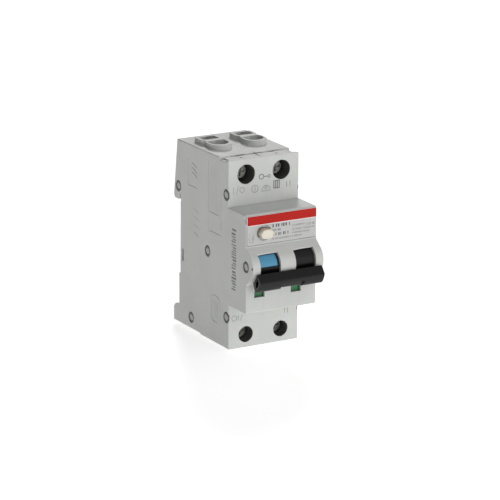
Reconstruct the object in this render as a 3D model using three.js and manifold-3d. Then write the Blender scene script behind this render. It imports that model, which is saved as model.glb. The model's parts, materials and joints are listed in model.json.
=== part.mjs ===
// A two-module residual current device with overcurrent release, for 35 mm rail.
// Millimetres. X runs along the rail, Z is up, and -Y points at the person who faces the device.
// Origin: middle of the width, on the rail's mounting plane, at the height of the rail's centre.
import * as THREE from "three";
import { mergeVertices } from "three/addons/utils/BufferGeometryUtils.js";
import Module from "manifold-3d";

const wasm = await Module();
wasm.setup();

// ---- Driving dimensions ----
const MODULE = 17.5;
const SIDE = MODULE; // half the width of the two modules
const SEAM = MODULE / 2; // a module's two half shells meet at this distance from the centre
const TOP = 42.5;
const BOTTOM = -42.5;
const SHOULDER_Y = -44;
const NOSE_Y = -59.3;
const NOSE_TOP = 21.8;
const NOSE_BOTTOM = -22.2;
const STRIP_Y = -36; // in front of this the top face lies one step lower
const STRIP_STEP = 0.5;
const STRIP_END_STEP = 1.1; // at both ends of that strip
const LIP_Y = -43; // the front wall's top edge stands up again in front of the strip
const LIP_STEP = 0.1;
const COLLAR_HEIGHT = 2.2;
const REAR_STEP_Y = -18; // behind this the bottom face lies a little higher
const REAR_STEP = 0.5;
const HOOK_REAR = 6;
const HOOK_TOP_Y = 2.6;
const HOOK_TIP_Z = 15;
const LIP_SLOT_TOP = 17.8;
const LIP_SLOT_DEPTH = 1.3;
const RECESS_BOTTOM = -18.8;
const CLIP_FLOOR_Y = 1.2;
const FOOT_REAR = 6.3;
const FOOT_TOP = -34;
const WALL = 1.4;
const SIDE_WALL = 1.3;
const PARTITION = 1; // half the thickness of the wall between the modules

const AXIS = { y: -59.2, z: -1 }; // the toggle turns about this line, which is also a rivet
const CHEEK_R = 6.6;
const DRUM_R = 5.6;
const CHAMBER_R = 6;
const SLOT_NEAR = 3.75; // a toggle slot lies between these distances from the centre
const SLOT_FAR = 13.75;
const LEFT_DRUM = [-13.5, -4];
const RIGHT_DRUM = [4, 13.5];
const SLOT_SECTOR = { low: -64, high: 62 }; // the toggle's slots, in degrees from straight ahead
const BAR_BACK_R = 7.2;
const BAR_HALF = 16;

const RIVETS = {
  hook_rivet: { y: 1.8, z: 21.2 },
  upper_shoulder_rivet: { y: -41.9, z: 27 },
  middle_rivet: { y: -25, z: -2.2 },
  toggle_axle_rivet: { y: AXIS.y, z: AXIS.z },
  foot_rivet: { y: -9.8, z: -36.8 },
  lower_shoulder_rivet: { y: -41.9, z: -28.2 },
};
const RIVET_R = 1.5;
const RIVET_BORE_R = 1.7;
const RIVET_HEAD_R = 2.45;
const BOSS_R = 2.8;

const UPPER_SCREW_Z = 35.6;
const LOWER_SCREW_Z = -36.6;
const UPPER_HOLE_R = 4.3;
const LOWER_HOLE_R = 3.55;
const TUNNEL_END_Y = -35;
const PLATE_Y = [-23.5, -22.5]; // the fixed terminal plate that the cage pulls a wire against

const COLLAR = { half: 5.2, waist: 4.1, rearY: -7, waistY: -14.4, centreY: -20.8 };
const CABLE_ENTRY = { half: 4.3, rearY: -16.2, centreY: -19.6 };
const BUSBAR_SLOT = { half: 3.8, y: [-13, -8] };
const CLIP = { half: 3.9, wing: 5, wingY: [2.6, 3.6], play: 0.2 };
const CAGE = { half: 5.2, y: [-26.5, -13.5], wall: 1.2, roofY: -24.5, floorY: -15, halfHeight: 4.2 };
const SCREW = { headR: 3.1, headY: [-38.2, -35.4], shankR: 2.4, endY: -24.1 };
const STRAP_Z = [-31.4, -30.7]; // the straps that leave the lower terminal plates rearwards or forwards

const TRIP_SHAFT = { y: -41, z: 3 };
const CONTACT_PIVOT = { y: -42, z: -9 };
const CRANK_R = 3.4;
const CRANK_ANGLE = 139; // from straight ahead, upwards
const BUTTON = { x: -8.5, z: 13.2 };
const BUTTON_FRONT = NOSE_Y - 3.3;
const BUTTON_WELL_R = 3.5;
const LABEL_X = [-17, SIDE - 0.1];
const LABEL_Z = [8, 21.1];
const LABEL_DEPTH = 0.4;
const FLAG_WINDOWS = { left: [-13.2, -8.1], right: [5, 10] };
const FLAG_WINDOW_Z = [-15.4, -12.6];

const plastic = material(0xc4c5c2, 0.55);
const black = material(0x1a1a1a, 0.35);
const blue = material(0x4a93bd, 0.45);
const green = material(0x2f7a45, 0.5);
const cream = material(0xddd8c8, 0.45);
const printed = material(0xd0d0ce, 0.5);
const steel = material(0xa9abad, 0.3, 1);
const copper = material(0xb87333, 0.35, 1);
const brass = material(0xb5a268, 0.35, 1);
const bobbin = material(0x6b3a22, 0.5);
const board = material(0x2d6b3a, 0.6);

// ---- Shapes and solids ----
function material(color, roughness, metalness = 0) {
  return new THREE.MeshStandardMaterial({ color, roughness, metalness });
}

function solid(geometry) {
  const bare = geometry.clone();
  bare.deleteAttribute("normal");
  bare.deleteAttribute("uv");
  const merged = mergeVertices(bare, 1e-4);
  const mesh = new wasm.Mesh({
    numProp: 3,
    vertProperties: merged.attributes.position.array,
    triVerts: new Uint32Array(merged.index.array),
  });
  return new wasm.Manifold(mesh);
}

function join(first, ...others) {
  return others.reduce((sum, other) => sum.add(other), first);
}

function cut(body, ...tools) {
  return tools.reduce((rest, tool) => rest.subtract(tool), body);
}

function span(middle, half) {
  return [middle - half, middle + half];
}

function polygon(points) {
  return new THREE.Shape(points.map(([a, b]) => new THREE.Vector2(a, b)));
}

// Lays a prism's outline across the named axis: (y, z) for X, (x, z) for Y and (x, y) for Z.
function prism(axis, shape, from, to, curveSegments = 8) {
  const settings = { depth: to - from, bevelEnabled: false, curveSegments };
  const geometry = new THREE.ExtrudeGeometry(shape, settings);
  const [x, y, z] = [1, 0, 0].map((_, i) => new THREE.Vector3().setComponent(i, 1));
  const turn = new THREE.Matrix4();
  if (axis === "x") turn.makeBasis(y, z, x).setPosition(from, 0, 0);
  if (axis === "y") turn.makeBasis(x, z, y.clone().negate()).setPosition(0, to, 0);
  if (axis === "z") turn.setPosition(0, 0, from);
  return solid(geometry.applyMatrix4(turn));
}

function box(x, y, z) {
  const geometry = new THREE.BoxGeometry(x[1] - x[0], y[1] - y[0], z[1] - z[0]);
  geometry.translate((x[0] + x[1]) / 2, (y[0] + y[1]) / 2, (z[0] + z[1]) / 2);
  return solid(geometry);
}

// A cylinder along the named axis; a and b are its centre's other two coordinates, in X, Y, Z order.
function rod(axis, a, b, radius, from, to, segments = 16) {
  const geometry = new THREE.CylinderGeometry(radius, radius, to - from, segments);
  const middle = (from + to) / 2;
  if (axis === "x") geometry.rotateZ(-Math.PI / 2).translate(middle, a, b);
  if (axis === "y") geometry.translate(a, middle, b);
  if (axis === "z") geometry.rotateX(Math.PI / 2).translate(a, b, middle);
  return solid(geometry);
}

// A point at a radius from the toggle axis; the angle rises from straight ahead.
function around(radius, degrees) {
  const angle = THREE.MathUtils.degToRad(degrees);
  return [AXIS.y - radius * Math.cos(angle), AXIS.z + radius * Math.sin(angle)];
}

// The outline of a ring segment about the toggle axis.
function ringSegment(inner, outer, low, high) {
  const angle = (degrees) => Math.PI - THREE.MathUtils.degToRad(degrees);
  const shape = new THREE.Shape();
  shape.absarc(AXIS.y, AXIS.z, outer, angle(high), angle(low), false);
  shape.absarc(AXIS.y, AXIS.z, inner, angle(low), angle(high), true);
  return shape;
}

function sector(radius, low, high) {
  const shape = new THREE.Shape();
  const angle = (degrees) => Math.PI - THREE.MathUtils.degToRad(degrees);
  shape.moveTo(AXIS.y, AXIS.z);
  shape.lineTo(...around(radius, high));
  shape.absarc(AXIS.y, AXIS.z, radius, angle(high), angle(low), false);
  return shape;
}

// A round wire or tube through the given points.
function wire(points, radius, steps, sides = 6) {
  const path = new THREE.CatmullRomCurve3(points.map((p) => new THREE.Vector3(...p)));
  return sweep(path, radius, steps, sides);
}

function sweep(path, radius, steps, sides) {
  const section = new THREE.Shape();
  for (let i = 0; i < sides; i++) {
    const angle = (2 * Math.PI * i) / sides;
    const place = [radius * Math.cos(angle), radius * Math.sin(angle)];
    if (i === 0) section.moveTo(...place);
    else section.lineTo(...place);
  }
  return solid(new THREE.ExtrudeGeometry(section, { steps, extrudePath: path }));
}

class Helix extends THREE.Curve {
  constructor(axis, centre, radius, from, to, turns) {
    super();
    Object.assign(this, { axis, centre, radius, from, to, turns });
  }

  getPoint(t, target = new THREE.Vector3()) {
    const angle = 2 * Math.PI * this.turns * t;
    const along = this.from + (this.to - this.from) * t;
    const a = this.centre[0] + this.radius * Math.cos(angle);
    const b = this.centre[1] + this.radius * Math.sin(angle);
    if (this.axis === "x") return target.set(along, a, b);
    return target.set(a, b, along);
  }
}

function spring(axis, centre, radius, wireRadius, from, to, turns) {
  const path = new Helix(axis, centre, radius, from, to, turns);
  return sweep(path, wireRadius, turns * 8, 5);
}

const group = new THREE.Group();

function piece(name, body, look) {
  const { vertProperties, triVerts } = body.getMesh();
  const geometry = new THREE.BufferGeometry();
  geometry.setAttribute("position", new THREE.BufferAttribute(vertProperties, 3));
  geometry.setIndex(new THREE.BufferAttribute(triVerts, 1));
  geometry.computeVertexNormals();
  const mesh = new THREE.Mesh(geometry, look);
  mesh.name = name;
  group.add(mesh);
}

const PHASE_X = -SEAM;
const NEUTRAL_X = SEAM;
const POLES = [
  { pole: "phase", side: "left", x: PHASE_X },
  { pole: "neutral", side: "right", x: NEUTRAL_X },
];
const ENDS = [
  { end: "upper", z: UPPER_SCREW_Z, holeR: UPPER_HOLE_R, away: 1 },
  { end: "lower", z: LOWER_SCREW_Z, holeR: LOWER_HOLE_R, away: -1 },
];

// ---- Housing ----
// The side view of the housing: stepped front, bulge about the toggle axis, rail hook and foot.
function housingOutline() {
  const edge = 0.8;
  const tangent = 52; // where the bulge about the toggle axis leaves its circle, in degrees
  const bulge = CHEEK_R + 1.8;
  const shape = polygon([
    [HOOK_TOP_Y, TOP],
    [STRIP_Y, TOP],
    [STRIP_Y, TOP - STRIP_STEP],
    [LIP_Y, TOP - STRIP_STEP],
    [LIP_Y, TOP - LIP_STEP],
    [SHOULDER_Y, TOP - LIP_STEP],
    [SHOULDER_Y, NOSE_TOP],
    [NOSE_Y + edge, NOSE_TOP],
    [NOSE_Y, NOSE_TOP - edge],
    [NOSE_Y, AXIS.z + bulge],
  ]);
  const angle = (degrees) => Math.PI - THREE.MathUtils.degToRad(degrees);
  shape.absarc(AXIS.y, AXIS.z, CHEEK_R, angle(tangent), angle(-tangent), false);
  const rest = [
    [NOSE_Y, AXIS.z - bulge],
    [NOSE_Y, NOSE_BOTTOM + edge / 2],
    [NOSE_Y + edge / 2, NOSE_BOTTOM],
    [SHOULDER_Y, NOSE_BOTTOM],
    [SHOULDER_Y, BOTTOM],
    [REAR_STEP_Y, BOTTOM],
    [REAR_STEP_Y, BOTTOM + REAR_STEP],
    [FOOT_REAR, BOTTOM + REAR_STEP],
    [FOOT_REAR, FOOT_TOP - 1.5],
    [FOOT_REAR - 1.5, FOOT_TOP],
    [CLIP_FLOOR_Y, FOOT_TOP + 1],
    [CLIP_FLOOR_Y, RECESS_BOTTOM],
    [0, RECESS_BOTTOM],
    [0, HOOK_TIP_Z - 0.5],
    [-0.3, HOOK_TIP_Z - 0.5],
    [-0.3, LIP_SLOT_TOP],
    [LIP_SLOT_DEPTH, LIP_SLOT_TOP],
    [LIP_SLOT_DEPTH, HOOK_TIP_Z + 0.8],
    [LIP_SLOT_DEPTH + 0.8, HOOK_TIP_Z],
    [HOOK_REAR - 0.8, HOOK_TIP_Z],
    [HOOK_REAR, HOOK_TIP_Z + 1],
    [HOOK_TOP_Y, TOP],
  ];
  rest.forEach(([y, z]) => shape.lineTo(y, z));
  return shape;
}

function cavityOutline() {
  const rear = -WALL - 0.2;
  return polygon([
    [rear, TOP - 2.4],
    [SHOULDER_Y + WALL, TOP - 2.4],
    [SHOULDER_Y + WALL, NOSE_TOP - WALL],
    [NOSE_Y + WALL, NOSE_TOP - WALL],
    [NOSE_Y + WALL, NOSE_BOTTOM + WALL],
    [SHOULDER_Y + WALL, NOSE_BOTTOM + WALL],
    [SHOULDER_Y + WALL, BOTTOM + 1.5],
    [rear, BOTTOM + 1.5],
  ]);
}

// Plan of the raised collar about a terminal's two openings, waisted between them.
function collarOutline(x) {
  const { half, waist, rearY, waistY, centreY } = COLLAR;
  const shape = polygon([
    [x + half, rearY],
    [x - half, rearY],
    [x - half, waistY + 1.5],
    [x - waist, waistY],
    [x - half, waistY - 3.6],
    [x - half, centreY],
  ]);
  shape.absarc(x, centreY, half, Math.PI, 2 * Math.PI, false);
  shape.lineTo(x + half, waistY - 3.6);
  shape.lineTo(x + waist, waistY);
  shape.lineTo(x + half, waistY + 1.5);
  return shape;
}

// Plan of the round-fronted opening that the cable goes into.
function cableOpening(x) {
  const { half, rearY, centreY } = CABLE_ENTRY;
  const shape = polygon([
    [x + half, rearY],
    [x - half, rearY],
    [x - half, centreY],
  ]);
  shape.absarc(x, centreY, half, Math.PI, 2 * Math.PI, false);
  return shape;
}

// The slots, windows and tunnels that belong to one module.
function moduleCuts({ x, side }) {
  const sign = side === "left" ? -1 : 1;
  const slot = [sign * SLOT_NEAR, sign * SLOT_FAR].sort((a, b) => a - b);
  const roof = [TOP - 4, TOP + 3];
  const foot = [BOTTOM - 1, FOOT_TOP + 1.2];
  const clipWingY = [CLIP.wingY[0] - CLIP.play, CLIP.wingY[1] + CLIP.play];
  const cuts = [
    rod("x", AXIS.y, AXIS.z, CHAMBER_R, ...slot, 36),
    prism("x", sector(10, SLOT_SECTOR.low, SLOT_SECTOR.high), ...slot),
    box(FLAG_WINDOWS[side], [NOSE_Y - 1, NOSE_Y + 3], FLAG_WINDOW_Z),
    box(span(x, BUSBAR_SLOT.half), BUSBAR_SLOT.y, roof),
    prism("z", cableOpening(x), ...roof),
    prism("z", cableOpening(x), BOTTOM - 1, BOTTOM + 3),
    box(span(x, CLIP.half + CLIP.play), [CLIP_FLOOR_Y, FOOT_REAR + 1], foot),
    box(span(x, CLIP.wing + CLIP.play), clipWingY, foot),
    box(span(x, 4.2), [-0.5, 1], [RECESS_BOTTOM - 0.1, -14.5]),
    rod("x", CONTACT_PIVOT.y, CONTACT_PIVOT.z, 1, ...span(x, 7.4), 10),
  ];
  ENDS.forEach(({ z, holeR }) => {
    cuts.push(rod("y", x, z, holeR, SHOULDER_Y - 1, TUNNEL_END_Y + 1, 28));
  });
  return cuts;
}

// Walls, bosses and tunnels that stand inside one module's cavity.
function moduleWalls({ x, side }) {
  const cavity = side === "left" ? [-SIDE + SIDE_WALL, -PARTITION] : [PARTITION, SIDE - SIDE_WALL];
  const across = [cavity[0] - 0.1, cavity[1] + 0.1];
  const upperFloor = [29.2, 30.2];
  const lowerRoof = [-30.2, -29.2];
  const springSeat = [-32.6, -31.6];
  const walls = [
    box(across, [SHOULDER_Y + WALL - 0.1, CAGE.y[0]], upperFloor),
    box(across, [-19.5, -1.5], upperFloor),
    box(across, [-35.5, -13], lowerRoof),
    box(span(x, 1.2), [CLIP_FLOOR_Y - 0.5, 4], springSeat),
  ];
  Object.values(RIVETS).forEach(({ y, z }) => {
    if (y < -1.5 && y > SHOULDER_Y) walls.push(rod("x", y, z, BOSS_R, ...across, 12));
  });
  ENDS.forEach(({ z, holeR }) => {
    walls.push(rod("y", x, z, holeR + 1, SHOULDER_Y + 0.5, TUNNEL_END_Y));
  });
  const pivot = CONTACT_PIVOT;
  walls.push(rod("x", pivot.y, pivot.z, 2, across[0], cavity[0] + 3, 10));
  walls.push(rod("x", pivot.y, pivot.z, 2, cavity[1] - 2.3, across[1], 10));
  return walls;
}

function wholeHousing() {
  const outside = prism("x", housingOutline(), -SIDE, SIDE, 14);
  const inner = SIDE - SIDE_WALL;
  let body = cut(outside, prism("x", cavityOutline(), -inner, -PARTITION));
  body = cut(body, prism("x", cavityOutline(), PARTITION, inner));
  POLES.forEach((pole) => {
    body = join(body, ...moduleWalls(pole));
  });
  body = join(body, buttonSleeve(), ...shaftBearings()).intersect(outside);
  POLES.forEach(({ x }) => {
    body = join(body, prism("z", collarOutline(x), TOP - 0.5, TOP + COLLAR_HEIGHT, 7));
  });
  POLES.forEach((pole) => {
    body = cut(body, ...moduleCuts(pole));
  });
  Object.values(RIVETS).forEach(({ y, z }) => {
    body = cut(body, rod("x", y, z, RIVET_BORE_R, -SIDE - 1, SIDE + 1, 12));
    body = cut(body, rod("x", y, z, RIVET_HEAD_R + 0.15, -SIDE - 1, -SIDE + 0.55, 24));
    body = cut(body, rod("x", y, z, RIVET_HEAD_R + 0.15, SIDE - 0.55, SIDE + 1, 24));
  });
  return cut(
    body,
    rod("x", TRIP_SHAFT.y, TRIP_SHAFT.z, 1.3, -inner - 0.1, inner + 0.1, 10),
    box([-2, 2], [-26.6, -22.4], [12.6, 18.5]),
    box([-2, 2], [-14.8, -10.4], [8.8, 13.2]),
    rod("y", BUTTON.x, BUTTON.z, BUTTON_WELL_R, NOSE_Y - 1, NOSE_Y + 0.9, 28),
    prism("y", buttonOutline(0.2), NOSE_Y + 0.8, NOSE_Y + 5.8, 8),
    rod("y", BUTTON.x, BUTTON.z, 1.3, NOSE_Y, NOSE_Y + 8, 12),
    labelRecess(),
    ...surfaceMarks(),
  );
}

function labelRecess() {
  const z = [LABEL_Z[0] - 0.1, LABEL_Z[1] + 0.1];
  return box([LABEL_X[0] - 0.1, SIDE + 1], [NOSE_Y - 1, NOSE_Y + LABEL_DEPTH], z);
}

// Small moulded features of the outside: gauge hole, grip dimple, rear latch pocket, slit and pips.
function surfaceMarks() {
  const beyond = SIDE + 1;
  const stripTop = TOP - STRIP_STEP;
  const stripEnd = [TOP - STRIP_END_STEP, TOP + 1];
  return [
    rod("x", -64.8, -0.5, 0.55, -beyond, -SIDE + 2.6, 12),
    rod("x", NOSE_Y, 19.7, 1.5, -beyond, -SIDE + 0.5, 20),
    box([-beyond, -SIDE + 1.5], [-3, -1], [-12.3, -6.9]),
    box([-0.2, 0.2], [LIP_Y, STRIP_Y + 0.9], [stripTop - 1.5, TOP + 1]),
    box([-beyond, -SIDE + 1.9], [LIP_Y + 2, STRIP_Y], stripEnd),
    box([SIDE - 1.9, beyond], [LIP_Y + 2, STRIP_Y], stripEnd),
    box([-beyond, beyond], [SHOULDER_Y - 0.25, SHOULDER_Y + 0.3], [NOSE_TOP - 0.3, NOSE_TOP]),
    ...POLES.map(({ x }) => rod("z", x, -39.3, 0.6, stripTop - 1.2, TOP + 1, 12)),
  ];
}

// The guide behind the test button, with a floor that the button's stem passes through.
function buttonSleeve() {
  return rod("y", BUTTON.x, BUTTON.z, 4.3, NOSE_Y + 1, NOSE_Y + 6.8, 16);
}

function shaftBearings() {
  const { y, z } = TRIP_SHAFT;
  const inner = SIDE - SIDE_WALL;
  return [
    rod("x", y, z, 2.2, -inner - 0.1, -inner + 1.6, 12),
    rod("x", y, z, 2.2, inner - 1.6, inner + 0.1, 12),
  ];
}

function addHousing() {
  const whole = wholeHousing();
  const shells = {
    left_cover: [-SIDE, -SEAM],
    left_base: [-SEAM, 0],
    right_base: [0, SEAM],
    right_cover: [SEAM, SIDE],
  };
  Object.entries(shells).forEach(([name, x]) => {
    const slab = box(x, [-90, 20], [-60, 60]);
    piece(name, whole.intersect(slab), plastic);
  });
  const label = box(LABEL_X, [NOSE_Y, NOSE_Y + LABEL_DEPTH - 0.05], LABEL_Z);
  const hole = rod("y", BUTTON.x, BUTTON.z, BUTTON_WELL_R, NOSE_Y - 1, NOSE_Y + 1, 28);
  piece("label_plate", cut(label, hole), printed);
}

// A hollow rivet through the whole width, with a flared head at each side.
function rivet({ y, z }) {
  const end = SIDE - 0.05;
  const head = 0.4;
  const body = join(
    rod("x", y, z, RIVET_R, -end, end, 12),
    rod("x", y, z, RIVET_HEAD_R, -end, -end + head, 20),
    rod("x", y, z, RIVET_HEAD_R, end - head, end, 20),
  );
  const bore = rod("x", y, z, 1, -SIDE - 1, SIDE + 1, 12);
  const shoulderFront = box([-20, 20], [SHOULDER_Y - 4, SHOULDER_Y + 0.1], [-60, 60]);
  return y > SHOULDER_Y ? cut(body, bore, shoulderFront) : cut(body, bore);
}

function addRivets() {
  Object.entries(RIVETS).forEach(([name, place]) => piece(name, rivet(place), steel));
}

// ---- Toggle ----
const NECK = { low: -56, high: -32, top: 8.3 };

// One drum: bored for the axle, slotted for its drive link, with a crank pin across the slot.
function drum([x0, x1], linkX) {
  const crank = around(CRANK_R, CRANK_ANGLE);
  const neck = prism("x", ringSegment(4.5, NECK.top, NECK.low, NECK.high), x0 + 0.5, x1 - 0.5, 4);
  const slot = prism("x", ringSegment(0.1, 9, 65, 215), ...span(linkX, 1.2), 6);
  const body = cut(join(rod("x", AXIS.y, AXIS.z, DRUM_R, x0, x1, 36), neck), slot);
  const pin = rod("x", ...crank, 0.8, ...span(linkX, 1.5), 14);
  return cut(join(body, pin), rod("x", AXIS.y, AXIS.z, 1.75, x0 - 1, x1 + 1, 16));
}

function barOutline() {
  const angle = (degrees) => Math.PI - THREE.MathUtils.degToRad(degrees);
  const shape = new THREE.Shape();
  shape.absarc(AXIS.y, AXIS.z, BAR_BACK_R, angle(-59), angle(-16), true);
  const nose = [
    [-66.7, -2.8],
    [-67.4, -3.3],
    [-69.4, -5.8],
    [-69.5, -6.3],
    [-68.4, -8.9],
    [-67.3, -10.3],
    [-65.4, -11.1],
    [-64.5, -10.8],
    [-63.2, -8.2],
  ];
  nose.forEach(([y, z]) => shape.lineTo(y, z));
  return shape;
}

// The bar that joins both drums: sockets in its ends, mortises for the necks, a thumb relief below.
function handleBar() {
  const socket = polygon([
    [-65.4, -8.9],
    [-66.9, -8.3],
    [-67.6, -6.4],
    [-66.6, -4.6],
    [-65.4, -6.6],
  ]);
  const relief = polygon([
    [-70, -8],
    [-67.9, -7.9],
    [-66.7, -10],
    [-64.2, -10.4],
    [-64.2, -12],
    [-70, -12],
  ]);
  const mortise = ringSegment(5, NECK.top + 0.15, NECK.low - 1.5, NECK.high + 1.5);
  return cut(
    prism("x", barOutline(), -BAR_HALF, BAR_HALF, 8),
    prism("x", socket, -BAR_HALF - 1, -BAR_HALF + 1.6),
    prism("x", socket, BAR_HALF - 1.6, BAR_HALF + 1),
    prism("x", relief, -4.8, 6.4),
    prism("x", mortise, LEFT_DRUM[0] + 0.35, LEFT_DRUM[1] - 0.35, 4),
    prism("x", mortise, RIGHT_DRUM[0] + 0.35, RIGHT_DRUM[1] - 0.35, 4),
  );
}

// The link that couples a drum to its contact arm: an eye on the crank pin and a slot at the arm.
function driveLink(linkX) {
  const [frontY, frontZ] = around(CRANK_R, CRANK_ANGLE);
  const [rearY, rearZ] = [frontY + 8.13, frontZ - 7.83];
  const [alongY, alongZ] = [0.72, -0.693];
  const half = 0.9;
  const bar = polygon([
    [frontY - half * alongZ, frontZ + half * alongY],
    [frontY + half * alongZ, frontZ - half * alongY],
    [rearY + half * alongZ, rearZ - half * alongY],
    [rearY - half * alongZ, rearZ + half * alongY],
  ]);
  const x = span(linkX, 0.7);
  const through = span(linkX, 2);
  const foot = box(x, [rearY - 3, rearY + 1.9], span(rearZ, 1.7));
  const slot = box(through, [rearY - 2.2, rearY + 1.1], span(rearZ, 0.95));
  const body = join(prism("x", bar, ...x), rod("x", frontY, frontZ, 1.5, ...x, 18), foot);
  return cut(body, slot, rod("x", frontY, frontZ, 0.95, ...through, 14));
}

function addToggle() {
  const left = LEFT_DRUM;
  const capX = [left[0] + 0.2, left[1] - 0.9];
  const gap = 0.05;
  const capSeat = prism("x", ringSegment(4.2, 9, 4.5, 64.5), capX[0] - gap, capX[1] + gap, 8);
  const cap = prism("x", ringSegment(4.3, DRUM_R, 5, 64), ...capX, 8);
  const springSeat = rod("x", AXIS.y, AXIS.z, 3.1, left[0] - 1, left[0] + 2, 20);
  piece("left_drum", cut(drum(left, PHASE_X), capSeat, springSeat), black);
  piece("right_drum", drum(RIGHT_DRUM, NEUTRAL_X), black);
  piece("blue_drum_inlay", cap, blue);
  piece("handle_bar", handleBar(), black);
  const coil = spring("x", [AXIS.y, AXIS.z], 2.4, 0.25, left[0] + 0.2, left[0] + 1.7, 3);
  piece("toggle_spring", coil, steel);
  POLES.forEach(({ pole, x }) => piece(pole + "_drive_link", driveLink(x), steel));
}

// ---- Contacts ----
// A bell crank on the contact pivot: one arm carries the link's pin, the other the contact.
function contactArm(x) {
  const { y, z } = CONTACT_PIVOT;
  const plate = [x + 1.2, x + 2.8];
  const outline = polygon([
    [y + 1.7, z + 0.6],
    [y + 0.2, z + 1.8],
    [y - 6.4, z + 3.5],
    [y - 7.6, z + 2.4],
    [y - 6.6, z + 1.2],
    [y - 2.4, z - 0.9],
    [y - 6.9, z - 7.2],
    [y - 5.2, z - 8.5],
  ]);
  const tipAngle = THREE.MathUtils.degToRad(38);
  const tip = new THREE.CylinderGeometry(1.3, 1.3, 1.4, 14);
  tip.rotateX(tipAngle * -1).translate(x + 2, y - 4.4, z - 7.6);
  return cut(
    join(
      prism("x", outline, ...plate),
      rod("x", y, z, 1.9, x - 1.2, plate[1], 18),
      rod("x", y - 6.5, z + 2.4, 0.7, x - 1, plate[1] - 0.1, 12),
      solid(tip),
    ),
    rod("x", y, z, 1, x - 3, x + 4, 16),
  );
}

function fixedContact(x, leadUp) {
  const plateY = [-38.9, -38.2];
  const stud = rod("y", x + 2, -18.2, 1.5, -39.9, plateY[0] + 0.2, 16);
  const plate = box([x - 5.6, x + 3.8], plateY, [-24.6, -14.5]);
  const lead = leadUp
    ? box([x - 5.6, x - 4.1], plateY, [-14.7, 8])
    : box([x - 5.6, x - 1.6], plateY, [-30.5, -24.4]);
  return join(plate, stud, lead);
}

function addContacts() {
  const { y, z } = CONTACT_PIVOT;
  POLES.forEach(({ pole, x }) => {
    piece(pole + "_moving_contact", contactArm(x), copper);
    piece(pole + "_fixed_contact", fixedContact(x, pole === "phase"), copper);
    piece(pole + "_contact_pin", rod("x", y, z, 0.9, ...span(x, 7.2), 14), steel);
    const braid = [
      [x + 2, y + 2.9, z + 1.6],
      [x + 2.4, y + 6, z + 2.7],
      [x + 3, y + 15, z + 2.5],
      [x + 2.6, y + 24, z + 2.2],
      [x + 1.2, y + 30.6, z + 2.6],
    ];
    piece(pole + "_braid", wire(braid, 0.75, 14), copper);
  });
  const coil = spring("x", [y, z], 1.5, 0.25, PHASE_X - 4.1, PHASE_X - 1.7, 4);
  piece("phase_contact_spring", coil, steel);
}

// ---- Terminals ----
// A lift terminal: the screw turns in place and draws the cage towards its head.
function terminalCage(x, z) {
  return cut(
    box(span(x, CAGE.half), CAGE.y, span(z, CAGE.halfHeight)),
    box(span(x, CAGE.half - CAGE.wall), [CAGE.roofY, CAGE.floorY], span(z, 6)),
    rod("y", x, z, SCREW.shankR + 0.2, -28, -24, 14),
  );
}

function terminalScrew(x, z) {
  const [front, rear] = SCREW.headY;
  const body = join(
    rod("y", x, z, SCREW.headR, front, rear, 22),
    rod("y", x, z, SCREW.shankR, rear - 0.1, SCREW.endY, 14),
  );
  const slotHalf = 0.45;
  const drive = [front - 1, front + 1.3];
  return cut(
    body,
    box(span(x, 2.6), drive, span(z, slotHalf)),
    box(span(x, slotHalf), drive, span(z, 2.2)),
  );
}

function terminalPlate(x, { z, end }, pole) {
  const wide = span(x, 3.6);
  const plate = box(wide, PLATE_Y, [z - 4.2, z + 4]);
  if (end === "upper") {
    return join(plate, box(span(x, 1.85), PLATE_Y, [24.6, z - 4]));
  }
  const riser = box(wide, PLATE_Y, [z + 3.8, STRAP_Z[1]]);
  if (pole === "neutral") {
    return join(plate, riser, box(wide, [-37.9, PLATE_Y[1]], STRAP_Z));
  }
  const bimetalY = [-10.4, -9.4];
  const narrow = span(x, 2.3);
  const strap = box(narrow, [PLATE_Y[0], bimetalY[1]], STRAP_Z);
  const anchor = box(narrow, bimetalY, [STRAP_Z[0], -27.4]);
  return join(plate, riser, strap, anchor);
}

function addTerminals() {
  POLES.forEach(({ pole, x }) => {
    ENDS.forEach((end) => {
      const prefix = end.end + "_" + pole + "_";
      piece(prefix + "terminal_cage", terminalCage(x, end.z), steel);
      piece(prefix + "terminal_screw", terminalScrew(x, end.z), steel);
      piece(prefix + "terminal_plate", terminalPlate(x, end, pole), copper);
    });
  });
}

// ---- Overcurrent release ----
const COIL = { x: PHASE_X, y: -33, low: 9, high: 23, r: 4.9 };

function magnetCoil() {
  const { x, y, low, high, r } = COIL;
  const turns = 4;
  const pitch = (high - low - 2) / turns;
  let body = rod("z", x, y, 3.6, low, high);
  body = join(body, rod("z", x, y, r, low, low + 0.8), rod("z", x, y, r, high - 0.8, high));
  for (let i = 0; i < turns; i++) {
    const start = low + 1.2 + i * pitch;
    body = join(body, rod("z", x, y, r - 0.2, start, start + pitch - 0.5));
  }
  return cut(body, rod("z", x, y, 2.5, low - 1, high + 1));
}

function magnetYoke() {
  const { x, y, low, high } = COIL;
  const across = span(x, 4);
  const thickness = 1.2;
  const rear = y + 6.8;
  const plateY = [y - 5.6, rear];
  return cut(
    join(
      box(across, plateY, [high + 0.2, high + 0.2 + thickness]),
      box(across, plateY, [low - 0.4 - thickness, low - 0.4]),
      box(across, [rear - thickness, rear], [low - 1, high + 1]),
    ),
    rod("z", x, y, 1.2, low - 3, low + 1, 16),
  );
}

function magnetPlunger() {
  const { x, y } = COIL;
  return join(rod("z", x, y, 2.2, 11.6, 21.5, 20), rod("z", x, y, 0.8, 5, 11.8, 14));
}

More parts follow.
